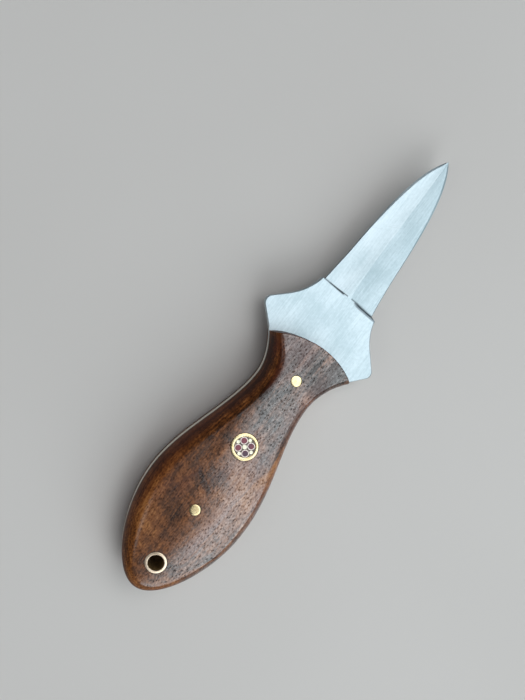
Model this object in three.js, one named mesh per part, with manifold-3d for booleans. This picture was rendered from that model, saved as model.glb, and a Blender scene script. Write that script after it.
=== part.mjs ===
// A hand-made oyster knife: one steel plate makes the spear-point blade, the winged guard and the full tang.
// Two wooden scales are bonded to the tang and held by two plain pins, a mosaic pin and a lanyard tube.
// X runs from the butt to the point, Y across the blade and Z up through the scales, in millimetres.
import * as THREE from "three";
import { mergeVertices } from "three/addons/utils/BufferGeometryUtils.js";
import Module from "manifold-3d";

const wasm = await Module();
wasm.setup();
const degrees = THREE.MathUtils.degToRad;

// Driving dimensions of the blade
const stockThickness = 2.5;
const bladeLength = 49.2; // plunge line to point
const bladeBaseWidth = 17.3;
const ridgeThickness = 2.4; // through the central ridge at the plunge line
const edgeThickness = 0.6; // a dull shucking edge
const bladeBaseTaper = degrees(7.6);
const bladeBaseReach = 11.4; // how far the edge keeps that taper before it curves in
const pointHalfAngle = degrees(38.8);
const pointReach = 12.7;

// Driving dimensions of the guard
const guardLength = 20.4; // handle corners to plunge line
const guardNeckWidth = 20; // where the guard meets the blade
const guardSpan = 38.4; // over both wing tips
const wingReach = 6.4; // handle corners to wing tips, along the knife
const wingTipRadius = 2.05;
const flankLeaveAngle = degrees(44); // direction on the wing tip's round where the front flank starts
const flankLeaveReach = 5.75;
const flankNeckTaper = degrees(11.3);
const flankNeckReach = 6.7;

// Driving dimensions of the handle's outline, which the tang, bonds and scales share
const handleLength = 82.8; // butt to the corners where the guard starts
const cornerWidth = 26.8;
const cornerFlare = degrees(40);
const cornerReach = 7;
const neckSetback = 12.1; // handle corners back to the narrowest place
const neckWidth = 17;
const neckFrontReach = 1.6;
const neckRearReach = 12.1;
const palmStation = 31.1; // butt to the widest place
const palmWidth = 33;
const palmFrontReach = 14.7;
const palmRearReach = 15.3;
const buttReach = 7.5;
const frontBulge = 4.3; // how far the front of the scales bows toward the point

// Driving dimensions of the scales' contour
const scaleThickness = 8;
const bondThickness = 0.15;
const edgeWall = 0.8; // upright wood above the tang before the edge rolls over
const edgeRoll = 4.4; // width of the rolled edge
const palmEdgeCurve = 2; // exponent of the roll: 2 is elliptical
const neckEdgeCurve = 1.4; // nearer 1 is a flatter bevel
const domeRadius = 95; // crosswise crown of the palm
const flatRun = 17; // from the neck back to where the crown starts
const buttDrop = 2.4; // fall of the surface toward the butt
const buttRun = 28;

// Driving dimensions of the pins
const pinClearance = 0.1; // glue gap round every pin and tube
const pinDiameter = 3.2;
const guardPinSetback = 7.7; // from the handle corners
const guardPinOffset = -0.6; // from the knife's axis, as are the other holes drilled by hand
const palmPinStation = 28.9; // from the butt
const palmPinOffset = 0.6;
const lanyardStation = 10.1;
const lanyardOffset = 0.4;
const lanyardDiameter = 6.4;
const lanyardWall = 0.85;
const mosaicShift = 0.5; // from midway between the plain pins toward the butt
const mosaicDiameter = 8;
const mosaicWall = 0.95;
const mosaicTurn = degrees(-3.7); // as the pin happened to set in its hole
const sleeveDiameter = 2.15;
const sleeveWall = 0.2;
const rodGap = 0.03; // fit of each rod in the resin and of each core in its sleeve
const resinWeb = 0.06; // least resin between neighbours in the mosaic

// Mesh resolution
const edgeSteps = 12;
const arcSteps = 8;
const acrossSteps = 16;
const pinSides = 24;
const lanyardSides = 32;
const mosaicSides = 48;
const sleeveSides = 24;
const rodSides = 20;

// Stations and levels that follow from the driving dimensions
const neckStation = handleLength - neckSetback;
const plungeStation = handleLength + guardLength;
const overallLength = plungeStation + bladeLength;
const scaleSeat = stockThickness / 2 + bondThickness;
const halfThickness = scaleSeat + scaleThickness;
const barLength = 3 * halfThickness;
const guardPinStation = handleLength - guardPinSetback;
const mosaicStation = (palmPinStation + guardPinStation) / 2 - mosaicShift;

// A closed geometry as a solid that can be joined and cut
function toSolid(geometry) {
  geometry.deleteAttribute("normal");
  geometry.deleteAttribute("uv");
  const merged = mergeVertices(geometry);
  const corners = merged.index.array;
  const triangles = [];
  for (let i = 0; i < corners.length; i += 3) {
    const [a, b, c] = corners.subarray(i, i + 3);
    if (a !== b && b !== c && c !== a) triangles.push(a, b, c);
  }
  const vertProperties = merged.attributes.position.array;
  return new wasm.Manifold(new wasm.Mesh({ numProp: 3, vertProperties, triVerts: Uint32Array.from(triangles) }));
}

// The geometry of a finished solid
function toGeometry(solid) {
  const { vertProperties, triVerts } = solid.getMesh();
  const geometry = new THREE.BufferGeometry();
  geometry.setAttribute("position", new THREE.BufferAttribute(vertProperties, 3));
  geometry.setIndex(new THREE.BufferAttribute(triVerts, 1));
  geometry.computeVertexNormals();
  return geometry;
}

// A solid skinned over cross-sections of equally many points, each counter-clockwise seen from the point
function loft(sections) {
  const count = sections[0].length;
  const last = (sections.length - 1) * count;
  const index = [];
  for (let start = 0; start < last; start += count) {
    for (let j = 0; j < count; j += 1) {
      const a = start + j;
      const b = start + ((j + 1) % count);
      index.push(a, b, b + count, a, b + count, a + count);
    }
  }
  for (let j = 1; j + 1 < count; j += 1) {
    index.push(0, j + 1, j, last, last + j, last + j + 1);
  }
  const geometry = new THREE.BufferGeometry().setFromPoints(sections.flat());
  geometry.setIndex(index);
  return toSolid(geometry);
}

// A flat solid whose outline mirrors a half outline across the knife's axis
function plate(halfOutline, thickness, bottom) {
  const mirrored = halfOutline.filter((point) => point.y > 0).reverse();
  const shape = new THREE.Shape([...halfOutline, ...mirrored.map((point) => new THREE.Vector2(point.x, -point.y))]);
  const geometry = new THREE.ExtrudeGeometry(shape, { depth: thickness, bevelEnabled: false });
  return toSolid(geometry.translate(0, 0, bottom));
}

// A round bar along Z, longer than the handle is thick
function bar(diameter, sides, x, y = 0) {
  const geometry = new THREE.CylinderGeometry(diameter / 2, diameter / 2, barLength, sides);
  return toSolid(geometry.rotateX(Math.PI / 2).translate(x, y, 0));
}

// Half outline of the handle from the butt over the palm and neck to the guard corner
const corner = new THREE.Vector2(handleLength, cornerWidth / 2);
const handlePath = new THREE.Path().moveTo(0, 0);
handlePath.bezierCurveTo(0, buttReach, palmStation - palmRearReach, palmWidth / 2, palmStation, palmWidth / 2);
handlePath.bezierCurveTo(
  palmStation + palmFrontReach, palmWidth / 2, neckStation - neckRearReach, neckWidth / 2, neckStation, neckWidth / 2,
);
handlePath.bezierCurveTo(
  neckStation + neckFrontReach, neckWidth / 2,
  corner.x - cornerReach * Math.cos(cornerFlare), corner.y - cornerReach * Math.sin(cornerFlare),
  corner.x, corner.y,
);
const handleEdge = handlePath.getPoints(edgeSteps);

// Half outline of the guard: a straight rear edge that is tangent to the round wing tip, then a hollow flank
const wingCentre = new THREE.Vector2(handleLength + wingReach, guardSpan / 2 - wingTipRadius);
const toCorner = corner.clone().sub(wingCentre);
const wingStartAngle = toCorner.angle() - Math.acos(wingTipRadius / toCorner.length());
const flankDirection = new THREE.Vector2(Math.cos(flankLeaveAngle), Math.sin(flankLeaveAngle));
const flankStart = flankDirection.clone().multiplyScalar(wingTipRadius).add(wingCentre);
const guardPath = new THREE.Path();
guardPath.absarc(wingCentre.x, wingCentre.y, wingTipRadius, wingStartAngle, flankLeaveAngle, true);
guardPath.bezierCurveTo(
  flankStart.x + flankLeaveReach * flankDirection.y, flankStart.y - flankLeaveReach * flankDirection.x,
  plungeStation - flankNeckReach * Math.cos(flankNeckTaper),
  guardNeckWidth / 2 + flankNeckReach * Math.sin(flankNeckTaper),
  plungeStation, guardNeckWidth / 2,
);
const guardEdge = guardPath.getPoints(arcSteps);

// Half outline of the blade from the plunge line to the point
const bladePath = new THREE.Path().moveTo(plungeStation, bladeBaseWidth / 2);
bladePath.bezierCurveTo(
  plungeStation + bladeBaseReach * Math.cos(bladeBaseTaper),
  bladeBaseWidth / 2 - bladeBaseReach * Math.sin(bladeBaseTaper),
  overallLength - pointReach * Math.cos(pointHalfAngle),
  pointReach * Math.sin(pointHalfAngle),
  overallLength, 0,
);
const bladeEdge = bladePath.getPoints(2 * edgeSteps);

// Half outline of the scales: the handle's edge, closed by a front that bows into the guard
const frontRadius = (corner.y ** 2 + frontBulge ** 2) / (2 * frontBulge);
const frontCentre = handleLength + frontBulge - frontRadius;
const frontPath = new THREE.Path();
frontPath.absarc(frontCentre, 0, frontRadius, Math.asin(corner.y / frontRadius), 0, true);
const scaleEdge = [...handleEdge, ...frontPath.getPoints(arcSteps).slice(1)];

// The edge roll follows the handle's sides and runs on along the wings, so that the front stays upright
const rolledSides = [...handleEdge, guardEdge[0]].map((point) => new THREE.Vector3(point.x, point.y, 0));
const rollLines = rolledSides.slice(1).map((point, i) => new THREE.Line3(rolledSides[i], point));

function sideDistance(x, y) {
  const here = new THREE.Vector3(x, Math.abs(y), 0);
  const nearest = new THREE.Vector3();
  return Math.min(...rollLines.map((line) => line.closestPointToPoint(here, true, nearest).distanceTo(here)));
}

// Height of a scale's outer surface above its seat
function rise(x, y) {
  const crown = 1 - THREE.MathUtils.smoothstep(x, palmStation, neckStation - flatRun);
  const fall = Math.max(0, (buttRun - x) / buttRun);
  const crest = scaleThickness - (crown * y ** 2) / (2 * domeRadius) - buttDrop * fall ** 2;
  const neckShare = THREE.MathUtils.smoothstep(x, palmStation, neckStation);
  const curve = THREE.MathUtils.lerp(palmEdgeCurve, neckEdgeCurve, neckShare);
  const level = Math.min(1, sideDistance(x, y) / edgeRoll);
  return edgeWall + (crest - edgeWall) * (1 - (1 - level) ** curve) ** (1 / curve);
}

// Outer surface across one station, from the +Y side to the -Y side
function surfaceAcross({ x, y: halfWidth }) {
  return Array.from({ length: acrossSteps + 1 }, (_, j) => {
    const y = halfWidth * Math.cos((Math.PI * j) / acrossSteps);
    return new THREE.Vector3(x, y, scaleSeat + rise(x, y));
  });
}

const scaleBlank = loft(scaleEdge.map((station) => [
  new THREE.Vector3(station.x, station.y, scaleSeat),
  ...surfaceAcross(station),
  new THREE.Vector3(station.x, -station.y, scaleSeat),
]));

// The whole handle's outside, which the ends of the pins are ground flush with
const handleEnvelope = loft(scaleEdge.map((station) => {
  const top = surfaceAcross(station);
  const bottom = top.map((point) => new THREE.Vector3(point.x, point.y, -point.z)).reverse();
  return [...top, ...bottom];
}));

// Bores through the tang, bonds and scales; side is -1 in a piece that is turned over once it is drilled
const bores = (side) => [
  bar(pinDiameter + 2 * pinClearance, pinSides, guardPinStation, side * guardPinOffset),
  bar(pinDiameter + 2 * pinClearance, pinSides, palmPinStation, side * palmPinOffset),
  bar(lanyardDiameter + 2 * pinClearance, lanyardSides, lanyardStation, side * lanyardOffset),
  bar(mosaicDiameter + 2 * pinClearance, mosaicSides, mosaicStation),
];
const drilled = (solid, side) => bores(side).reduce((left, bore) => left.subtract(bore), solid);
const flush = (solid) => solid.intersect(handleEnvelope);

// Blade, guard and tang in one piece; the bevels fall from the ridge to the edges and meet the guard in a step
const bladeRoot = stockThickness / 2; // how deep the blade's root runs into the guard
function bladeSection(x, halfWidth) {
  const edge = edgeThickness / 2;
  const ridge = edge + ((ridgeThickness / 2 - edge) * halfWidth) / (bladeBaseWidth / 2);
  const corners = [
    [halfWidth, -edge], [halfWidth, edge], [0, ridge], [-halfWidth, edge], [-halfWidth, -edge], [0, -ridge],
  ];
  return corners.map(([y, z]) => new THREE.Vector3(x, y, z));
}
const tangAndGuard = plate([...handleEdge, ...guardEdge], stockThickness, -stockThickness / 2);
const spearPoint = loft([
  bladeSection(plungeStation - bladeRoot, bladeBaseWidth / 2 - bladeRoot),
  ...bladeEdge.map((station) => bladeSection(station.x, station.y)),
]);
const blade = drilled(tangAndGuard, 1).add(spearPoint);

// Mosaic pin: four sleeved cores, a centre rod and four outer rods, spaced by the least resin between them
const spacing = resinWeb + 2 * rodGap;
const mosaicBore = mosaicDiameter - 2 * mosaicWall;
const rodLimit = mosaicBore / 2 - spacing; // radius that no rod reaches past
const sleeveRadius = sleeveDiameter / 2;
const sleeveOrbit = rodLimit - sleeveRadius;
const coreDiameter = sleeveDiameter - 2 * sleeveWall - 2 * rodGap;
const centreRodDiameter = 2 * (sleeveOrbit - sleeveRadius - spacing);
// An outer rod touches the limit circle and keeps its spacing from the sleeves on both sides of it
const keepOff = sleeveRadius + spacing;
const sleeveAlong = sleeveOrbit * Math.SQRT1_2;
const outerRodRadius = (rodLimit ** 2 + sleeveOrbit ** 2 - 2 * sleeveAlong * rodLimit - keepOff ** 2)
  / (2 * (keepOff + rodLimit - sleeveAlong));
const outerRodOrbit = rodLimit - outerRodRadius;

const quarterTurns = [0, 1, 2, 3].map((turn) => mosaicTurn + (turn * Math.PI) / 2);
function onOrbit(radius, angle, diameter, sides) {
  return bar(diameter, sides, mosaicStation + radius * Math.cos(angle), radius * Math.sin(angle));
}
const sleeves = (diameter) => quarterTurns.map(
  (turn) => onOrbit(sleeveOrbit, turn + Math.PI / 4, diameter, sleeveSides),
);
const outerRods = (diameter) => quarterTurns.map((turn) => onOrbit(outerRodOrbit, turn, diameter, rodSides));
const rodBores = [
  bar(centreRodDiameter + 2 * rodGap, rodSides, mosaicStation),
  ...outerRods(2 * outerRodRadius + 2 * rodGap),
  ...sleeves(sleeveDiameter + 2 * rodGap),
];
const mosaicTube = bar(mosaicDiameter, mosaicSides, mosaicStation)
  .subtract(bar(mosaicBore, mosaicSides, mosaicStation));
const mosaicResin = rodBores.reduce(
  (left, bore) => left.subtract(bore),
  bar(mosaicBore - 2 * rodGap, mosaicSides, mosaicStation),
);
const sleeveBores = sleeves(sleeveDiameter - 2 * sleeveWall);

const lanyardTube = bar(lanyardDiameter, lanyardSides, lanyardStation, lanyardOffset)
  .subtract(bar(lanyardDiameter - 2 * lanyardWall, lanyardSides, lanyardStation, lanyardOffset));

// Finishes
const finishes = {
  steel: { color: 0xc9d3d8, roughness: 0.38, metalness: 1 },
  wood: { color: 0x5a3420, roughness: 0.45, metalness: 0 },
  epoxy: { color: 0x6b5636, roughness: 0.4, metalness: 0 },
  brass: { color: 0xd9bd72, roughness: 0.25, metalness: 1 },
  paleBrass: { color: 0xe8dcae, roughness: 0.25, metalness: 1 },
  darkRed: { color: 0x6a2230, roughness: 0.35, metalness: 0 },
  resin: { color: 0x2a1a16, roughness: 0.3, metalness: 0 },
};

// The origin is at the middle of the knife's length, on the surface that the lower scale lies on
const knife = new THREE.Group();
knife.position.set(-overallLength / 2, 0, halfThickness);

function addPiece(name, solid, finish) {
  const mesh = new THREE.Mesh(toGeometry(solid), new THREE.MeshStandardMaterial(finishes[finish]));
  mesh.name = name;
  knife.add(mesh);
  return mesh;
}

const bondBlank = plate(scaleEdge, bondThickness, stockThickness / 2);
addPiece("blade", blade, "steel");
addPiece("upper_scale", drilled(scaleBlank, 1), "wood");
addPiece("lower_scale", drilled(scaleBlank, -1), "wood").rotation.x = Math.PI;
addPiece("upper_bond", drilled(bondBlank, 1), "epoxy");
addPiece("lower_bond", drilled(bondBlank, -1), "epoxy").rotation.x = Math.PI;
addPiece("guard_pin", flush(bar(pinDiameter, pinSides, guardPinStation, guardPinOffset)), "brass");
addPiece("palm_pin", flush(bar(pinDiameter, pinSides, palmPinStation, palmPinOffset)), "brass");
addPiece("lanyard_tube", flush(lanyardTube), "brass");
addPiece("mosaic_tube", flush(mosaicTube), "brass");
addPiece("mosaic_resin", flush(mosaicResin), "resin");
addPiece("mosaic_centre_rod", flush(bar(centreRodDiameter, rodSides, mosaicStation)), "paleBrass");
outerRods(2 * outerRodRadius).forEach((rod, i) => {
  addPiece(`mosaic_outer_rod_${i + 1}`, flush(rod), "paleBrass");
});
sleeves(sleeveDiameter).forEach((sleeve, i) => {
  addPiece(`mosaic_sleeve_${i + 1}`, flush(sleeve.subtract(sleeveBores[i])), "paleBrass");
});
sleeves(coreDiameter).forEach((core, i) => {
  addPiece(`mosaic_core_${i + 1}`, flush(core), "darkRed");
});

export default knife;
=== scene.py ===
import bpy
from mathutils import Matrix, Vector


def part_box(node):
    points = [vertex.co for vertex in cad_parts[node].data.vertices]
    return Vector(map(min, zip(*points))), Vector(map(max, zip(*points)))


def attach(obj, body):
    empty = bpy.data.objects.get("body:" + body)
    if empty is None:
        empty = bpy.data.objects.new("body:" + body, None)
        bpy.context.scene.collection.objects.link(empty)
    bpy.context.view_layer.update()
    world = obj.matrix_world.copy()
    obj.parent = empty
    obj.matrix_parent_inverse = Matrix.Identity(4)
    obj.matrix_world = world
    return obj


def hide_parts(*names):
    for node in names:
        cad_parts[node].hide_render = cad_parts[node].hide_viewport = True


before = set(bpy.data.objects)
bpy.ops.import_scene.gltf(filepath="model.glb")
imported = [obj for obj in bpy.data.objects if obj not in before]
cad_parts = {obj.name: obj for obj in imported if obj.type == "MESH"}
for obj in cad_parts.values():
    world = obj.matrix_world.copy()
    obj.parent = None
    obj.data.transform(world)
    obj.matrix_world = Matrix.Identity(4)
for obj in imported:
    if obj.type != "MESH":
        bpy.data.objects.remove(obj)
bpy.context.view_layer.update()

import math

import bpy
from mathutils import Matrix, Vector
from mathutils.geometry import interpolate_bezier, intersect_point_line

# Blade, guard and tang: one flat plate of stainless steel, cut to its outline and drilled for the pins.
# The spear point is ground a little hollow from both sides to a central ridge, with a second bevel at each
# edge. The guard's edges are eased with a file, and the satin finish is rubbed along the plate.
MM = 0.001
blade_low, blade_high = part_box("blade")
butt_x = blade_low.x
mid_z = (blade_low.z + blade_high.z) / 2
half_stock = 1.25

# The outline, in stations from the butt and offsets from the axis. A pull is how far a curve keeps the
# direction of one of its ends.
butt_pull = 7.5
palm = Vector((31.1, 16.5))
palm_pull_in = 15.3
palm_pull_out = 14.7
neck = Vector((70.7, 8.5))
neck_pull_in = 12.1
neck_pull_out = 1.6
corner = Vector((82.8, 13.4))
corner_flare = math.radians(40)
corner_pull = 7
wing_centre = Vector((89.2, 17.15))
wing_radius = 2.05
flank_angle = math.radians(44)
flank_pull = 5.75
plunge = Vector((103.2, 10))
plunge_taper = math.radians(11.3)
plunge_pull = 6.7
plunge_skew = 0.055
skew_run = 6
blade_base = Vector((103.2, 8.65))
base_taper = math.radians(7.6)
base_pull = 11.4
base_gap = 0.3
base_skew = 0.03
point = Vector((152.39, 0))
point_angle = math.radians(38.8)
point_pull = 12.7

# The ground faces and their edges.
guard_ease = 0.25
ridge_height = 1.25
hollow_grind = 1.3
plunge_break = 0.2
bevel_foot = 0.3
edge_height = 0.17
edge_bevel = 0.2
tip_bevel = 0.35
tip_run = (115, 140)
bevel_share = 0.4
least_half = 0.01

# How far the handle and the guard were filed off the drawn outline, and where each of these starts and ends.
palm_sway = 0.4
palm_to_waist = (30, 56)
neck_sway = -0.55
waist_run = (50, 76)
left_waist_end = (86, 98)
left_wing_side = (4.5, 11)
right_waist_end = (100, 118)
right_wing_side = (14, 19)
root_sway = 0.3
root_side = (3, 8)
step_sway = -0.7
step_side = (8.7, 10)
root_run = (97, 103)
root_end = (106, 116)


def smooth_climb(value, low, high):
    """0 below low and 1 above high, with a smooth climb between them."""
    share = min(1, max(0, (value - low) / (high - low)))
    return share * share * (3 - 2 * share)


def sway(x, y):
    """How far a place lies off the drawn outline: filed by eye, the handle is not quite straight."""
    off = palm_sway * (1 - smooth_climb(x, *palm_to_waist))
    waist = neck_sway * smooth_climb(x, *waist_run)
    if y > 0:
        off += waist * (1 - smooth_climb(x, *left_waist_end)) * (1 - smooth_climb(y, *left_wing_side))
        root = root_sway * smooth_climb(y, *root_side) + step_sway * smooth_climb(y, *step_side)
        off += root * smooth_climb(x, *root_run) * (1 - smooth_climb(x, *root_end))
    else:
        off += waist * (1 - smooth_climb(x, *right_waist_end)) * (1 - smooth_climb(-y, *right_wing_side))
    return off


def in_frame(x, y, z):
    """Station from the butt, offset from the axis and height above the plate's middle, in the row frame."""
    return Vector((butt_x + x * MM, (y + sway(x, y)) * MM, mid_z + z * MM))


def towards(angle, length):
    """A step of that length in the plane of the plate."""
    return Vector((math.cos(angle), math.sin(angle))) * length


def curve(start, leave, arrive, end, steps):
    """Points on a drawn curve after its start, up to and with its end."""
    return [Vector(p) for p in interpolate_bezier(start, leave, arrive, end, steps + 1)[1:]]


butt = Vector((0, 0))
handle_edge = [butt]
handle_edge += curve(butt, butt + Vector((0, butt_pull)), palm - Vector((palm_pull_in, 0)), palm, steps=28)
handle_edge += curve(
    palm, palm + Vector((palm_pull_out, 0)), neck - Vector((neck_pull_in, 0)), neck, steps=26
)
handle_edge += curve(
    neck, neck + Vector((neck_pull_out, 0)), corner - towards(corner_flare, corner_pull), corner, steps=18
)

to_corner = corner - wing_centre
wing_start = math.atan2(to_corner.y, to_corner.x) + math.tau - math.acos(wing_radius / to_corner.length)
wing_steps = 16
wing_turn = [wing_start + (flank_angle - wing_start) * i / wing_steps for i in range(wing_steps + 1)]
wing_tip = [wing_centre + towards(angle, wing_radius) for angle in wing_turn]
rear_steps = 8
guard_edge = [corner.lerp(wing_tip[0], i / rear_steps) for i in range(1, rear_steps)] + wing_tip
guard_edge += curve(
    wing_tip[-1],
    wing_tip[-1] + towards(flank_angle - math.pi / 2, flank_pull),
    plunge - towards(-plunge_taper, plunge_pull),
    plunge,
    steps=26,
)
blade_edge = [blade_base]
blade_edge += curve(
    blade_base,
    blade_base + towards(-base_taper, base_pull),
    point - towards(-point_angle, point_pull),
    point,
    steps=50,
)


def ring(x, skew, half, inset, brow, shoulder, crest, level=0):
    """One cross-section: upright edges to the brow, an inset shoulder, then faces ground a little hollow
    that rise to the crest, which is level for a share of the width."""
    face_shares = (1, 0.8, 0.55, 0.35, 0.2, 0.05, 0, -0.05, -0.2, -0.35, -0.55, -0.8, -1)
    top = []
    for share in face_shares:
        climb = min(1, (1 - abs(share)) / (1 - level)) ** hollow_grind
        top.append(((half - inset) * share, shoulder + (crest - shoulder) * climb))
    top = [(half, brow), *top, (-half, brow)]
    around = top + [(y, -z) for y, z in reversed(top)] + top[:1]
    return [in_frame(x + skew * y, y, z) for y, z in around]


weld = 2e-6


def laid_over(name, rings):
    """A grid laid over a row of cross-sections, closed along its seam and at its ends."""
    bpy.ops.object.select_all(action="DESELECT")
    along = len(rings) - 1
    around = len(rings[0]) - 1
    bpy.ops.mesh.primitive_grid_add(x_subdivisions=along, y_subdivisions=around, size=1)
    piece = bpy.context.object
    piece.name = name
    for vertex in piece.data.vertices:
        i = round((vertex.co.x + 0.5) * along)
        j = round((vertex.co.y + 0.5) * around)
        vertex.co = rings[i][j]
    bpy.ops.object.mode_set(mode="EDIT")
    bpy.ops.mesh.select_all(action="SELECT")
    bpy.ops.mesh.remove_doubles(threshold=weld)
    bpy.ops.mesh.normals_make_consistent(inside=False)
    bpy.ops.object.mode_set(mode="OBJECT")
    return piece


rings = [ring(p.x, 0, p.y, 0, half_stock, half_stock, half_stock) for p in handle_edge]
for p in guard_edge:
    skew = plunge_skew * smooth_climb(p.x, plunge.x - skew_run, plunge.x)
    rings.append(ring(p.x, skew, p.y, guard_ease, half_stock - guard_ease, half_stock, half_stock))
for p in blade_edge:
    crest = bevel_foot + (ridge_height - bevel_foot) * p.y / blade_base.y
    second_bevel = min(edge_bevel + tip_bevel * smooth_climb(p.x, *tip_run), bevel_share * p.y)
    foot = bevel_foot + (crest - bevel_foot) * second_bevel / max(p.y, least_half)
    at_base = p is blade_base
    x = p.x + base_gap if at_base else p.x
    skew, level = (base_skew, plunge_break) if at_base else (0, 0)
    rings.append(ring(x, skew, p.y, second_bevel, edge_height, foot, crest, level))
plate = laid_over("ground_blade_plate", rings)

glue_gap = 0.1
drill_length = 40
bpy.ops.object.select_all(action="DESELECT")
drills = []
for node in ("guard_pin", "palm_pin", "lanyard_tube", "mosaic_tube"):
    low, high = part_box(node)
    middle = (low + high) / 2
    radius = (high.x - low.x) / 2 + glue_gap * MM
    bpy.ops.mesh.primitive_cylinder_add(vertices=72, radius=radius, depth=drill_length * MM, location=middle)
    drills.append(bpy.context.object)
for drill in drills:
    drill.select_set(True)
bpy.ops.object.join()
drill = bpy.context.object
bpy.ops.object.transform_apply(location=True, rotation=True, scale=True)


def drilled(piece, smooth_below):
    """Bores the pin holes through a piece and smooths its faces up to an angle in degrees."""
    bpy.ops.object.select_all(action="DESELECT")
    piece.select_set(True)
    bpy.context.view_layer.objects.active = piece
    bore = piece.modifiers.new("pin holes", "BOOLEAN")
    bore.object = drill
    bore.operation = "DIFFERENCE"
    bore.solver = "EXACT"
    bpy.ops.object.modifier_apply(modifier=bore.name)
    bpy.ops.object.shade_smooth_by_angle(angle=math.radians(smooth_below))


drilled(plate, smooth_below=9)


class Shade:
    """A shader socket: arithmetic on it adds Math nodes, and its other methods add any other node."""

    def __init__(self, tree, socket):
        self.tree = tree
        self.socket = socket

    def node(self, kind, settings=None, sockets=None, out=0):
        """A node of that kind, with its settings set first and then its sockets linked or filled."""
        made = self.tree.nodes.new("ShaderNode" + kind)
        for name, value in (settings or {}).items():
            if name == "stops":
                ramp = made.color_ramp
                ramp.interpolation = "EASE"
                while len(ramp.elements) < len(value):
                    ramp.elements.new(0.5)
                for element, (level, colour) in zip(ramp.elements, value):
                    element.position = level
                    element.color = (*colour, 1)
            else:
                setattr(made, name, value)
        for name, value in (sockets or {}).items():
            self.feed(made.inputs[name], value)
        return Shade(self.tree, made.outputs[out])

    def feed(self, target, value):
        """Links a socket to another, or fills it with a number or colour."""
        if isinstance(value, Shade):
            self.tree.links.new(value.socket, target)
        else:
            target.default_value = value

    def maths(self, operation, first, second):
        return self.node("Math", {"operation": operation}, {0: first, 1: second})

    def __add__(self, other):
        return self.maths("ADD", self, other)

    def __radd__(self, other):
        return self.maths("ADD", other, self)

    def __sub__(self, other):
        return self.maths("SUBTRACT", self, other)

    def __rsub__(self, other):
        return self.maths("SUBTRACT", other, self)

    def __mul__(self, other):
        return self.maths("MULTIPLY", self, other)

    def __rmul__(self, other):
        return self.maths("MULTIPLY", other, self)

    def __abs__(self):
        return self.maths("ABSOLUTE", self, 0)

    def axis(self, number):
        """One coordinate of a place or direction."""
        return self.node("SeparateXYZ", None, {0: self}, out=number)

    def facing(self):
        """The direction that the surface faces."""
        return self.node("NewGeometry", out="Normal")

    def turned(self, degrees):
        """A place turned about the vertical."""
        return self.node("Mapping", None, {"Vector": self, "Rotation": (0, 0, math.radians(degrees))})

    def cells(self, lengths, seed):
        """A place counted in cells of that many millimetres in X, Y and Z."""
        scale = [1 / length for length in lengths]
        return self.node("Mapping", None, {"Vector": self, "Location": (seed, seed, seed), "Scale": scale})

    def blots(self, lengths, detail=2, roughness=0.5, distortion=0, seed=0):
        """Noise whose blots are about that many millimetres long in X, Y and Z."""
        return self.node("TexNoise", None, {
            "Vector": self.cells(lengths, seed), "Scale": 1, "Detail": detail, "Roughness": roughness,
            "Distortion": distortion,
        })

    def specks(self, lengths, small, large, seed=0):
        """Spots, one to a cell of that many millimetres: 1 in their middles and 0 past their edges."""
        away = self.node("TexVoronoi", None, {"Vector": self.cells(lengths, seed), "Scale": 1})
        return 1 - away.between(small, large)

    def around(self, centre, reach):
        """1 at one place and 0 past an egg of that reach about it."""
        away = self.node("VectorMath", {"operation": "SUBTRACT"}, {0: self, 1: centre})
        away = self.node("VectorMath", {"operation": "DIVIDE"}, {0: away, 1: reach})
        return 1 - self.node("VectorMath", {"operation": "LENGTH"}, {0: away}, out="Value").between(0.1, 1)

    def between(self, low, high):
        """0 below low and 1 above high, with a smooth climb between them."""
        return self.node("MapRange", {"interpolation_type": "SMOOTHSTEP"}, {
            "Value": self, "From Min": low, "From Max": high,
        })

    def mixed(self, share, colour):
        """A colour with a share of another, even or changing, laid over it."""
        over = colour if isinstance(colour, Shade) else (*colour, 1)
        return self.node("Mix", {"data_type": "RGBA"}, {0: share, 6: self, 7: over}, out=2)

    def colours(self, *stops):
        """A colour for each level of a value, with smooth changes between the stops."""
        return self.node("ValToRGB", {"stops": stops}, {0: self})

    def bump(self, height):
        """The surface direction after a relief of that height in millimetres."""
        return self.node("Bump", None, {"Height": height, "Distance": MM})


def new_finish(name, steady):
    """A material with its steady values on the shader's sockets. Gives it, its shader and places in mm."""
    material = bpy.data.materials.new(name)
    material.use_nodes = True
    tree = material.node_tree
    shader = tree.nodes["Principled BSDF"]
    for socket, value in steady.items():
        shader.inputs[socket].default_value = value
    metres = Shade(tree, tree.nodes.new("ShaderNodeTexCoord").outputs["Object"])
    place = metres.node("VectorMath", {"operation": "SCALE"}, {0: metres, "Scale": 1 / MM})
    return material, shader, place


def coat(piece, *materials):
    """Puts one finish on a whole piece, or gives it several to share out."""
    piece.data.materials.clear()
    for material in materials:
        piece.data.materials.append(material)


# The steel's colours: rubbed face, old scratches, painted shade in the plunge step, and a painted
# highlight on the belt-ground rim of the tang, darker towards the butt.
steel_shade, steel_shine = (0.395, 0.48, 0.515), (0.605, 0.685, 0.725)
scratch_grey = (0.27, 0.30, 0.32)
step_shade_grey = (0.12, 0.14, 0.16)
rim_highlight_dim, rim_highlight_bright = (0.76, 0.72, 0.64), (0.88, 0.84, 0.76)
rim_dark_at_butt = (0.26, 0.23, 0.19)
step_reach = (0.1, 0.5)
right_step_extra = 0.3
ridge_aside = 0.6
ridge_gap = (1.3, 3)
rim_darker_run = (8, 36)
rim_end = (corner.x - 9, corner.x + 4)

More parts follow.
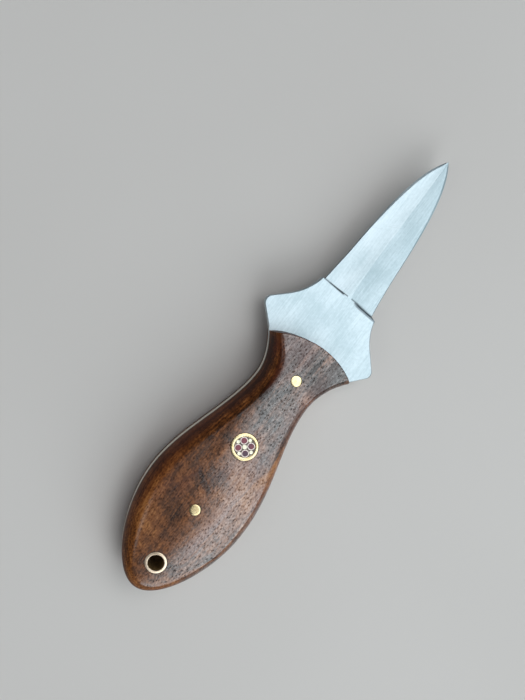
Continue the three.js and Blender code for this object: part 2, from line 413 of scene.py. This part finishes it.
satin_steel, shader, place = new_finish("satin_steel", {"Metallic": 1.0})
grind_lines = place.blots((16, 0.4, 16), detail=4, roughness=0.7)
fine_lines = place.turned(3).blots((6, 0.12, 6), detail=2, seed=7)
matte = place.blots((0.9, 0.7, 0.7), detail=2, seed=13)
cloudy = place.blots((14, 9, 9), detail=3)
scratched = place.turned(62).blots((26, 0.16, 4), detail=1, seed=3).between(0.715, 0.75)
scratched = scratched * place.blots((9, 9, 9), seed=5).between(0.5, 0.62)
tone = 0.4 * cloudy + 0.3 * grind_lines + 0.14 * fine_lines + 0.16 * matte
colour = tone.colours((0.36, steel_shade), (0.64, steel_shine))
colour = colour.mixed(0.4 * scratched, scratch_grey)
station, aside = place.axis(0) - butt_x / MM, place.axis(1)
from_step = abs(station - plunge_skew * aside - (plunge.x + base_gap / 2))
from_step = from_step - right_step_extra * (1 - aside.between(-5, 0))
# Painted shade: the colour is darkened along the plunge step, with a gap near the ridge.
step_shade_mask = (1 - from_step.between(*step_reach)) * abs(aside + ridge_aside).between(*ridge_gap)
colour = colour.mixed(0.75 * step_shade_mask, step_shade_grey)
# Painted highlight: the tang's upright rim gets a pale, warm colour in place of a reflection, darker towards
# the butt.
belt_lines = place.blots((9, 9, 0.15), detail=3)
painted_rim_highlight = belt_lines.colours((0.3, rim_highlight_dim), (0.7, rim_highlight_bright))
painted_rim_highlight = painted_rim_highlight.mixed(0.6 * (1 - station.between(*rim_darker_run)), rim_dark_at_butt)
upright = 1 - abs(place.facing().axis(2)).between(0.3, 0.6)
on_rim = upright * (1 - station.between(*rim_end))
colour = colour.mixed(on_rim, painted_rim_highlight)
place.feed(shader.inputs["Base Color"], colour)
place.feed(shader.inputs["Roughness"], 0.36 + 0.10 * grind_lines + 0.06 * cloudy + 0.08 * on_rim)
relief = 0.0022 * grind_lines + 0.0010 * fine_lines - 0.004 * scratched
place.feed(shader.inputs["Normal"], place.bump(relief))
coat(plate, satin_steel)
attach(plate, "root")
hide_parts("blade")

# Handle scales: two dark walnut-like halves, glued to the tang, shaped together and oiled to a low sheen.
# The top is flat at the neck, crowned over the palm and falls toward the butt, and the long edges are
# rolled down to a short upright wall that is flush with the tang. The front is sanded to a round.
seat = 1.4
thickness = 8
edge_wall = 0.8
left_width = 4.8
right_width = 3.5
left_blend = (-6, 4)
butt_loss = 0.3
butt_loss_run = (0, 16)
neck_loss = 0.6
neck_loss_run = (palm.x + 9, neck.x - 3)
front_loss = 1.6
front_loss_run = (corner.x - 7, corner.x + 2)
crest_blend = 2.5
palm_roll = 2
left_neck_roll = 1.4
right_neck_roll = 2.2
dome_radius = 95
flat_run = 17
butt_drop = 2.4
butt_run = 28
front_bulge = 4.3
front_ease = 0.25
front_aside = -1.2
front_radius = (corner.y ** 2 + front_bulge ** 2) / (2 * front_bulge)
front_centre = Vector((corner.x + front_bulge - front_radius, front_aside))
rolled_sides = [*handle_edge, wing_tip[0]]


def half_width(x):
    """Half the width of the tang, and then of the guard's rear, at a station."""
    for start, end in zip(rolled_sides, rolled_sides[1:]):
        if x <= end.x:
            return start.y + (end.y - start.y) * (x - start.x) / (end.x - start.x)


def from_side(x, y):
    """How far a place on a scale is from the nearer rolled side."""
    here = Vector((x, abs(y)))
    nearest = math.inf
    for start, end in zip(rolled_sides, rolled_sides[1:]):
        share = intersect_point_line(here, start, end)[1]
        nearest = min(nearest, (here - start.lerp(end, min(1, max(0, share)))).length)
    return nearest


def scale_top(x, y):
    """Height of the scale's outer surface above the plate's middle."""
    crown = 1 - smooth_climb(x, palm.x, neck.x - flat_run)
    fall = max(0, (butt_run - x) / butt_run)
    crest = thickness - crown * y * y / (2 * dome_radius) - butt_drop * fall * fall
    on_left = smooth_climb(y, *left_blend)
    width = right_width + (left_width - right_width) * on_left
    width *= 1 - butt_loss * (1 - smooth_climb(x, *butt_loss_run))
    width -= neck_loss * smooth_climb(x, *neck_loss_run)
    width -= front_loss * smooth_climb(x, *front_loss_run) * on_left
    neck_roll = right_neck_roll + (left_neck_roll - right_neck_roll) * on_left
    roll = palm_roll + (neck_roll - palm_roll) * smooth_climb(x, palm.x, neck.x)
    level = min(1, from_side(x, y) / width)
    top = seat + edge_wall + (crest - edge_wall) * (1 - (1 - level) ** crest_blend) ** (1 / roll)
    to_front = max(0, front_radius - math.hypot(max(0, x - front_centre.x), y - front_centre.y))
    lost = front_ease - min(front_ease, to_front)
    return top - front_ease + math.sqrt(front_ease ** 2 - lost ** 2)


front_start = corner.x - 3
front_run = front_centre.x + front_radius - front_start
front_steps = 32
across_steps = 56
stations = [p.x for p in handle_edge if p.x < front_start]
for i in range(front_steps + 1):
    stations.append(front_start + front_run * math.sin(math.pi / 2 * i / front_steps))
sides = []
for x in stations:
    half, reach = half_width(x), math.inf
    if x > neck.x:
        reach = math.sqrt(max(0, front_radius ** 2 - (x - front_centre.x) ** 2))
    sides.append((x, min(half, reach + front_centre.y), -min(half, reach - front_centre.y)))
rings = []
for x, left, right in sides:
    turns = [math.cos(math.pi * j / across_steps) for j in range(across_steps + 1)]
    across = [(left + right) / 2 + (left - right) / 2 * turn for turn in turns]
    over = [in_frame(x, y, scale_top(x, y)) for y in across]
    rings.append([in_frame(x, left, seat), *over, in_frame(x, right, seat), in_frame(x, left, seat)])
upper_scale = laid_over("upper_handle_scale", rings)


def other_side(piece, name):
    """A copy of an upper piece, turned upside down for the lower side of the tang."""
    bpy.ops.object.select_all(action="DESELECT")
    piece.select_set(True)
    bpy.context.view_layer.objects.active = piece
    bpy.ops.object.duplicate()
    copy = bpy.context.object
    copy.name = name
    to_middle = Matrix.Translation((0, 0, mid_z))
    upside_down = Matrix.Scale(-1, 4, (0, 0, 1))
    copy.data.transform(to_middle @ upside_down @ to_middle.inverted())
    bpy.ops.object.mode_set(mode="EDIT")
    bpy.ops.mesh.select_all(action="SELECT")
    bpy.ops.mesh.normals_make_consistent(inside=False)
    bpy.ops.object.mode_set(mode="OBJECT")
    return copy


lower_scale = other_side(upper_scale, "lower_handle_scale")

# The wood's colours, from its darkest rings to its palest, then its red heart and its open pores.
ring_black, ring_brown = (0.024, 0.009, 0.004), (0.108, 0.036, 0.011)
wood_brown, wood_amber = (0.243, 0.081, 0.022), (0.44, 0.175, 0.053)
heart_red = (0.190, 0.045, 0.022)
pore_black = (0.016, 0.007, 0.004)

# The grain, from the growth rings that the saw has cut across to single threads.
dark_walnut, shader, place = new_finish("dark_walnut", {
    "Specular IOR Level": 0.05, "Coat IOR": 2.0, "Coat Roughness": 0.2,
})
along, aside, height = place.axis(0), place.axis(1), place.axis(2)
wander = place.blots((38, 10, 10), detail=2, seed=2)
ripple = place.blots((11, 2.4, 2.4), detail=2, seed=5)
layer = height + 0.10 * aside + 0.012 * along + 3.0 * wander + 0.9 * ripple
sheets = place.node("CombineXYZ", None, {0: 0.012 * along, 1: 0.03 * aside, 2: layer})
bands = sheets.blots((1, 1, 1.5), detail=3, roughness=0.6)
ring_lines = sheets.blots((1, 1, 0.36), detail=1, seed=3)
fibres = place.blots((22, 0.9, 0.9), detail=4, roughness=0.6, distortion=0.4, seed=11)
threads = place.blots((3, 0.3, 0.3), detail=2, seed=21)
figure = place.turned(16).blots((3.0, 11, 9), detail=3, seed=61)
grain = place.blots((0.7, 0.5, 0.5), detail=2, seed=71)
streaks = place.blots((9, 1.0, 1.0), detail=2, seed=81).between(0.36, 0.64)
heart_streaks = place.turned(6).blots((13, 1.2, 1.2), detail=2, seed=91).between(0.4, 0.6)
pores = place.specks((1.3, 0.6, 0.6), 0.12, 0.40, seed=31)
fine_pores = place.specks((0.8, 0.2, 0.2), 0.12, 0.42, seed=35)

# Darker places: clouds on the palm, the heart at the front, the neck, and painted shade with streaks on the
# left.
dark_cloud = place.turned(35).blots((2.4, 7, 7), detail=3, seed=83).between(0.46, 0.62)
dark_cloud = dark_cloud * place.around((-39, 4.5, 17), (21, 12, 7))
dark_cloud = dark_cloud + 0.8 * place.around((-49.5, 6.6, 17.5), (6, 5, 5))
dark_cloud = dark_cloud + 0.9 * place.around((-38, 2, 17.8), (4.5, 6.5, 5))
dark_heart = place.around((6, -2, 18.5), (11, 16, 6)) * (0.4 + 1.2 * heart_streaks)
dark_heart = dark_heart + 0.8 * place.around((1.2, -7, 18.5), (6, 4, 6))
dark_neck = place.around((-12, -1, 18.5), (20, 12, 6))
# Along the left side the darkening is partly the wood's streaks and partly painted shade of the side away
# from the light.
left_streaks_and_shade = place.around((-14, 9, 14), (36, 6.5, 9)) + 0.5 * place.around((-26, 8, 17.5), (14, 5.5, 5))
left_streaks_and_shade = left_streaks_and_shade * (0.35 + 0.85 * streaks) + 0.6 * place.around((0, 11, 14), (7, 4, 6))
left_streaks_and_shade = left_streaks_and_shade + 0.45 * place.around((-34, 9, 16.5), (11, 5, 5))
left_streaks_and_shade = left_streaks_and_shade - 0.45 * place.around((-17, 9.3, 15), (8, 4, 6))

# Paler and redder places, most of them along the edges; some pale places on the palm are painted sheen.
amber_edge = place.around((-26, -10.8, 15.3), (22, 5, 6))
pink_edge = place.around((-6, -7, 18), (20, 4, 6))
# Painted sheen: these two paler places on the palm's right half stand in for its reflection.
painted_palm_sheen = place.around((-48, -8, 17), (30, 10, 7))
painted_side_sheen = place.around((-34, -8.5, 17.5), (14, 5, 5))
# The first patch is the wood's paler orange figure; the second, along the left roll's crest, is painted
# sheen.
palm_patch_and_sheen = place.around((-55, 9, 16), (17, 10, 7)) + 0.8 * place.around((-52, 12, 15.5), (10, 3.5, 5))
redness = place.blots((26, 8, 8), detail=1, seed=51).between(0.5, 0.7)
redness = redness + place.around((7, 8, 17), (6, 5, 5)) + place.around((-36, 14, 13), (45, 6, 8))
redness = redness + 0.8 * pink_edge + 0.6 * place.around((-10, 10, 14), (30, 6, 8))

# Duller places, where the oil has sunk in.
dull_palm = place.around((-46, 1.2, 17), (21, 9, 7)) + 0.5 * place.around((-61.5, 0.5, 17), (5, 4, 5))
dull_palm = dull_palm + 0.35 * place.around((-46.5, -4.2, 17.5), (9, 3.2, 5))
dull_palm = dull_palm + 0.6 * place.around((-68, -7, 15.5), (9, 7, 6))
dull_left = place.around((-23, 7.3, 17.8), (17, 6, 5))
dull_left = dull_left + 0.45 * place.around((-31, 4.8, 17.8), (7, 3.8, 5))
dull_neck = place.around((-7.5, 6.8, 18.5), (13, 5.6, 5))

facing = place.facing()
# Painted shade: steep faces of the rolled edges are made darker in tone.
steep_shade = 1 - abs(facing.axis(2)).between(0.3, 0.8)
tone = 0.34 * bands + 0.15 * ring_lines + 0.11 * fibres + 0.12 * threads + 0.15 * figure + 0.16 * grain
tone = 1.55 * tone - 0.288 - 0.15 * dark_heart - 0.15 * dark_neck - 0.09 * dark_cloud - 0.09 * left_streaks_and_shade
tone = tone + 0.15 * amber_edge + 0.03 * painted_palm_sheen + 0.07 * painted_side_sheen + 0.04 * palm_patch_and_sheen - 0.06 * steep_shade
colour = tone.colours((0.36, ring_black), (0.46, ring_brown), (0.54, wood_brown), (0.64, wood_amber))
colour = colour.mixed(0.4 * redness, heart_red)
colour = colour.mixed(0.6 * pores + 0.3 * fine_pores, pore_black)
place.feed(shader.inputs["Base Color"], colour)
place.feed(shader.inputs["Roughness"], 0.35 + 0.2 * fibres)
to_left, to_butt = facing.axis(1), 0 - facing.axis(0)
turned_away = (to_left + 0.5 * (grain - 0.5)).between(0.08, 0.45)
oiled = (1 - 0.96 * turned_away) * to_left.between(-1.0, -0.95) * (1 - 0.85 * to_butt.between(0.3, 0.75))
oiled = oiled * (1 - 0.66 * dull_palm) * (1 - 0.88 * dull_left) * (1 - 0.85 * dull_neck)
oiled = oiled * (1 - 0.3 * dark_heart) * (1 - 0.35 * amber_edge) * (1 - 0.2 * pink_edge)
oiled = oiled * (0.88 + 0.24 * streaks) * (0.1 + 1.8 * grain) * (1 - 0.8 * pores) * (1 - 0.35 * fine_pores)
place.feed(shader.inputs["Coat Weight"], oiled)
place.feed(shader.inputs["Normal"], place.bump(0.003 * fibres - 0.012 * pores - 0.005 * fine_pores))
for scale, node in ((upper_scale, "upper_scale"), (lower_scale, "lower_scale")):
    drilled(scale, smooth_below=35)
    coat(scale, dark_walnut)
    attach(scale, "root")
    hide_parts(node)

# Bond lines: a thin film of amber epoxy between the tang and each scale.
# It is squeezed out as the scales are clamped, and filed off flush with them when it has cured.
epoxy_brown, epoxy_amber = (0.10, 0.06, 0.03), (0.17, 0.11, 0.055)
rings = []
for x, left, right in sides:
    film = ((left, half_stock), (left, seat), (right, seat), (right, half_stock), (left, half_stock))
    rings.append([in_frame(x, y, z) for y, z in film])
upper_film = laid_over("upper_glue_film", rings)
lower_film = other_side(upper_film, "lower_glue_film")
cured_epoxy, shader, place = new_finish("cured_epoxy", {"IOR": 1.52})
blotches = place.blots((3, 2, 2), detail=3)
place.feed(shader.inputs["Base Color"], blotches.colours((0.3, epoxy_brown), (0.7, epoxy_amber)))
place.feed(shader.inputs["Roughness"], 0.35 + 0.2 * blotches)
for film, node in ((upper_film, "upper_bond"), (lower_film, "lower_bond")):
    drilled(film, smooth_below=30)
    coat(film, cured_epoxy)
    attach(film, "root")
    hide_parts(node)

# Plain pins: brass rod pressed and glued through both scales and the tang.
# The ends are ground flush with the wood, and polishing leaves them a little crowned with a soft rim.
pin_rim = 0.09
pin_crown = 0.012
crown_steps = 3
end_tilt = 0.99
rim_smooth = 40
brass_brown, brass_yellow = (0.66, 0.515, 0.28), (0.79, 0.645, 0.385)


def choose(piece, kind, wanted):
    """Selects the edges or faces of a piece that pass a test, and leaves it in edit mode."""
    bpy.ops.object.mode_set(mode="EDIT")
    bpy.ops.mesh.select_mode(type=kind)
    bpy.ops.mesh.select_all(action="DESELECT")
    bpy.ops.object.mode_set(mode="OBJECT")
    for part in piece.data.edges if kind == "EDGE" else piece.data.polygons:
        part.select = wanted(part)
    bpy.ops.object.mode_set(mode="EDIT")


def end_on_wood(vertex):
    """Slides one end of a pin or tube from the handle's full thickness to the wood's surface."""
    x, y = (vertex.co.x - butt_x) / MM, vertex.co.y / MM
    short = (scale_top(x, y - sway(x, y)) - seat - thickness) * MM
    vertex.co.z += short if vertex.co.z > mid_z else -short


def plain_pin(name, node):
    """A brass rod as long as the handle is thick, with crowned ends and eased rims."""
    low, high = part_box(node)
    middle = (low + high) / 2
    radius = (high.x - low.x) / 2
    bpy.ops.object.select_all(action="DESELECT")
    length = 2 * (seat + thickness - pin_crown) * MM
    bpy.ops.mesh.primitive_cylinder_add(vertices=64, radius=radius, depth=length, location=middle)
    pin = bpy.context.object
    pin.name = name
    bpy.ops.object.transform_apply(location=True, rotation=True, scale=True)
    choose(pin, "FACE", lambda face: abs(face.normal.z) > end_tilt)
    bpy.ops.mesh.bevel(offset=pin_rim * MM, segments=3, affect="EDGES")
    choose(pin, "FACE", lambda face: abs(face.normal.z) > end_tilt)
    for step in range(1, crown_steps + 1):
        bpy.ops.mesh.inset(thickness=radius / (crown_steps + 1), depth=pin_crown * MM / (crown_steps * step))
    bpy.ops.object.mode_set(mode="OBJECT")
    for vertex in pin.data.vertices:
        end_on_wood(vertex)
    bpy.ops.object.shade_smooth_by_angle(angle=math.radians(rim_smooth))
    return pin


worn_brass, shader, place = new_finish("worn_brass", {"Metallic": 1.0})
tarnish = place.blots((1.6, 1.6, 4), detail=3, seed=4)
polish_lines = place.turned(31).blots((3, 0.05, 3), detail=2, seed=9)
place.feed(shader.inputs["Base Color"], tarnish.colours((0.35, brass_brown), (0.7, brass_yellow)))
place.feed(shader.inputs["Roughness"], 0.12 + 0.12 * polish_lines + 0.08 * tarnish)
place.feed(shader.inputs["Normal"], place.bump(0.0012 * polish_lines + 0.002 * tarnish))
for name, node in (("brass_guard_pin", "guard_pin"), ("brass_palm_pin", "palm_pin")):
    pin = plain_pin(name, node)
    coat(pin, worn_brass)
    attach(pin, "root")
    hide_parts(node)

# Tubes: the open brass lanyard tube at the butt, and the brass jacket of the mosaic pin.
# Both are cut from drawn tube, glued in and ground flush with the wood. The lanyard tube's ends are
# flared a little and buffed paler, so that they don't cut the cord, and its bore is painted dark as shade.
buffed_shade, buffed_shine = (0.74, 0.57, 0.41), (0.88, 0.70, 0.53)
bore_shade_dark, bore_shade_light = (0.20, 0.13, 0.055), (0.42, 0.28, 0.13)


def flush_tube(name, node, wall, flare, outer_rim, inner_rim):
    """A drawn tube ground to the wood's surface, with eased rims and its ends raised by the flare at the
    hole."""
    low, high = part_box(node)
    middle = (low + high) / 2
    radius = (high.x - low.x) / 2
    bpy.ops.object.select_all(action="DESELECT")
    length = 2 * (seat + thickness) * MM
    bpy.ops.mesh.primitive_cylinder_add(
        vertices=80, radius=radius, depth=length, end_fill_type="NOTHING", location=middle
    )
    tube = bpy.context.object
    tube.name = name
    bpy.ops.object.transform_apply(location=True, rotation=True, scale=True)
    shell = tube.modifiers.new("wall", "SOLIDIFY")
    shell.thickness = wall * MM
    shell.offset = -1
    bpy.ops.object.modifier_apply(modifier=shell.name)
    for vertex in tube.data.vertices:
        off = vertex.co - middle
        if math.hypot(off.x, off.y) < radius - wall * MM / 2:
            vertex.co.z += math.copysign(flare * MM, off.z)

    def on_rim(edge, bound):
        """Whether an edge runs round an end of the tube at that radius."""
        first, second = (tube.data.vertices[end].co - middle for end in edge.vertices)
        stray = max(abs(math.hypot(off.x, off.y) - bound) for off in (first, second))
        return stray < weld and first.z * second.z > 0

    for size, bound in ((inner_rim, radius - wall * MM), (outer_rim, radius)):
        choose(tube, "EDGE", lambda edge: on_rim(edge, bound))
        bpy.ops.mesh.bevel(offset=size * MM, segments=3, affect="EDGES")
        bpy.ops.object.mode_set(mode="OBJECT")
    for vertex in tube.data.vertices:
        end_on_wood(vertex)
    bpy.ops.object.shade_smooth_by_angle(angle=math.radians(rim_smooth))
    return tube


buffed_brass, shader, place = new_finish("buffed_brass", {"Metallic": 1.0})
tarnish = place.blots((1.6, 1.6, 4), detail=3, seed=14)
place.feed(shader.inputs["Base Color"], tarnish.colours((0.35, buffed_shade), (0.7, buffed_shine)))
place.feed(shader.inputs["Roughness"], 0.25 + 0.15 * tarnish)
# Painted shade: the bore inside the lanyard tube is coloured dark.
painted_bore_shade, shader, place = new_finish("painted_bore_shade", {"Metallic": 0.6})
bore_mottle = place.blots((1.2, 1.2, 3), detail=3, seed=16)
place.feed(shader.inputs["Base Color"], bore_mottle.colours((0.3, bore_shade_dark), (0.7, bore_shade_light)))
place.feed(shader.inputs["Roughness"], 0.55 + 0.2 * bore_mottle)
lanyard_tube = flush_tube(
    "brass_lanyard_tube", "lanyard_tube", wall=0.85, flare=0.07, outer_rim=0.08, inner_rim=0.16
)
mosaic_tube = flush_tube(
    "brass_mosaic_tube", "mosaic_tube", wall=0.95, flare=0, outer_rim=0.1, inner_rim=0.05
)
coat(mosaic_tube, worn_brass)
coat(lanyard_tube, buffed_brass, painted_bore_shade)
bore_tilt = 0.2
low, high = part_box("lanyard_tube")
middle = (low + high) / 2
for face in lanyard_tube.data.polygons:
    if face.normal.dot(face.center - middle) < 0 and abs(face.normal.z) < bore_tilt:
        face.material_index = 1
for tube, node in ((lanyard_tube, "lanyard_tube"), (mosaic_tube, "mosaic_tube")):
    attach(tube, "root")
    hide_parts(node)
bpy.data.objects.remove(drill)

# Mosaic filling: pale rods, thin pinkish sleeves and dark-red cores, cast in brown resin in the brass jacket.
# These solids already have the right shape, so they stay and get the looks of their own materials.
rods = ["mosaic_centre_rod"] + [f"mosaic_outer_rod_{i}" for i in range(1, 5)]
sleeves = [f"mosaic_sleeve_{i}" for i in range(1, 5)]
cores = [f"mosaic_core_{i}" for i in range(1, 5)]


def mottled(name, steady, low, high, smooth, lengths, seed, nodes):
    """A finish that shifts between two colours, put on those solids."""
    material, shader, place = new_finish(name, steady)
    shift = place.blots(lengths, detail=2, seed=seed)
    place.feed(shader.inputs["Base Color"], shift.colours((0.35, low), (0.65, high)))
    place.feed(shader.inputs["Roughness"], smooth + 0.15 * shift)
    for node in nodes:
        coat(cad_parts[node], material)


mottled(
    "pale_rod", {"Metallic": 1.0}, low=(0.62, 0.59, 0.45), high=(0.80, 0.77, 0.62),
    smooth=0.24, lengths=(0.6, 0.6, 3), seed=6, nodes=rods,
)
mottled(
    "pink_sleeve", {"Metallic": 1.0}, low=(0.64, 0.53, 0.48), high=(0.80, 0.69, 0.64),
    smooth=0.24, lengths=(0.6, 0.6, 3), seed=7, nodes=sleeves,
)
mottled(
    "red_core", {"IOR": 1.5}, low=(0.10, 0.045, 0.075), high=(0.29, 0.065, 0.090),
    smooth=0.30, lengths=(2.6, 2.6, 9), seed=8, nodes=cores,
)
mottled(
    "brown_resin", {"IOR": 1.5}, low=(0.10, 0.075, 0.055), high=(0.30, 0.22, 0.18),
    smooth=0.28, lengths=(0.5, 0.5, 2), seed=12, nodes=["mosaic_resin"],
)

# Floor: a plain pale sheet of matte board that the knife lies on.
# It is big enough to fill the view from any side.
floor_size = 6
floor_shade, floor_shine = (0.69, 0.645, 0.615), (0.72, 0.675, 0.645)
bpy.ops.object.select_all(action="DESELECT")
bpy.ops.mesh.primitive_plane_add(size=floor_size, location=(0, 0, 0))
floor = bpy.context.object
floor.name = "floor"
pale_floor, shader, place = new_finish("pale_floor", {"Roughness": 0.9})
faint = place.blots((160, 160, 160), detail=2)
place.feed(shader.inputs["Base Color"], faint.colours((0.3, floor_shade), (0.7, floor_shine)))
coat(floor, pale_floor)

# Light: soft boxes hung level above the knife. Those over the guard, point, neck and palm give the sheen on
# the steel and the wood, wide ones fill in from the right, and a small one lifts the palm's left edge.
# A dim surround, brighter on the right, lights the rest.
lamp_height = 1.0
cool_white = (0.88, 0.96, 1.0)
guard_white = (0.89, 0.965, 1.0)
point_white = (0.92, 0.97, 1.0)
far_blue = (0.60, 0.93, 1.0)
surround_white = (0.93, 0.965, 1.0)


def soft_box(name, low, high, level, colour):
    """A lamp that faces down from its height, drawn from corner to corner in metres."""
    light = bpy.data.lights.new(name, "AREA")
    light.shape = "RECTANGLE"
    light.size = high[0] - low[0]
    light.size_y = high[1] - low[1]
    light.energy = level * math.pi * light.size * light.size_y
    light.color = colour
    lamp = bpy.data.objects.new(name, light)
    bpy.context.scene.collection.objects.link(lamp)
    lamp.location = ((low[0] + high[0]) / 2, (low[1] + high[1]) / 2, lamp_height)


soft_box("guard_box", (-0.02, -0.42), (0.65, -0.14), level=2.25, colour=guard_white)
soft_box("point_box", (0.0, -0.14), (0.65, 0.22), level=3.0, colour=point_white)
soft_box("palm_box", (-1.3, -0.42), (-0.172, -0.31), level=2.8, colour=cool_white)
soft_box("neck_box", (-0.172, -0.42), (-0.02, -0.18), level=2.95, colour=cool_white)
soft_box("side_box", (-1.3, -3.0), (-0.08, -0.42), level=2.3, colour=cool_white)
soft_box("right_box", (-0.08, -3.0), (1.2, -0.42), level=0.35, colour=far_blue)
soft_box("left_box", (-0.8, 0.2), (-0.3, 0.75), level=0.9, colour=cool_white)

world = bpy.data.worlds.new("surround")
bpy.context.scene.world = world
world.use_nodes = True
surround = world.node_tree.nodes["Background"]
heading = Shade(world.node_tree, world.node_tree.nodes.new("ShaderNodeTexCoord").outputs["Generated"])
to_right = 0.6 * heading.axis(0) - 0.8 * heading.axis(1)
heading.feed(surround.inputs["Strength"], 0.11 + 0.21 * to_right.between(-0.1, 0.7))
surround.inputs["Color"].default_value = (*surround_white, 1)

# Camera: nearly overhead, leaning a little toward the far edge.
# It is turned so that the point is up and to the right.
lens = 62.06
sensor = 36
aim = Vector((0.31, 10.88, 9.4)) * MM
distance = 348.17 * MM
lean = math.radians(10.07)
turn = math.radians(-53.3)
camera_data = bpy.data.cameras.new("camera")
camera_data.lens = lens
camera_data.sensor_width = sensor
camera_data.clip_start = 0.01
camera = bpy.data.objects.new("camera", camera_data)
bpy.context.scene.collection.objects.link(camera)
stand = aim + distance * Vector((0, math.sin(lean), math.cos(lean)))
tilted = Matrix.Rotation(-lean, 4, "X") @ Matrix.Rotation(turn, 4, "Z")
camera.matrix_world = Matrix.Translation(stand) @ tilted
bpy.context.scene.camera = camera
bpy.context.scene.view_settings.view_transform = "Standard"
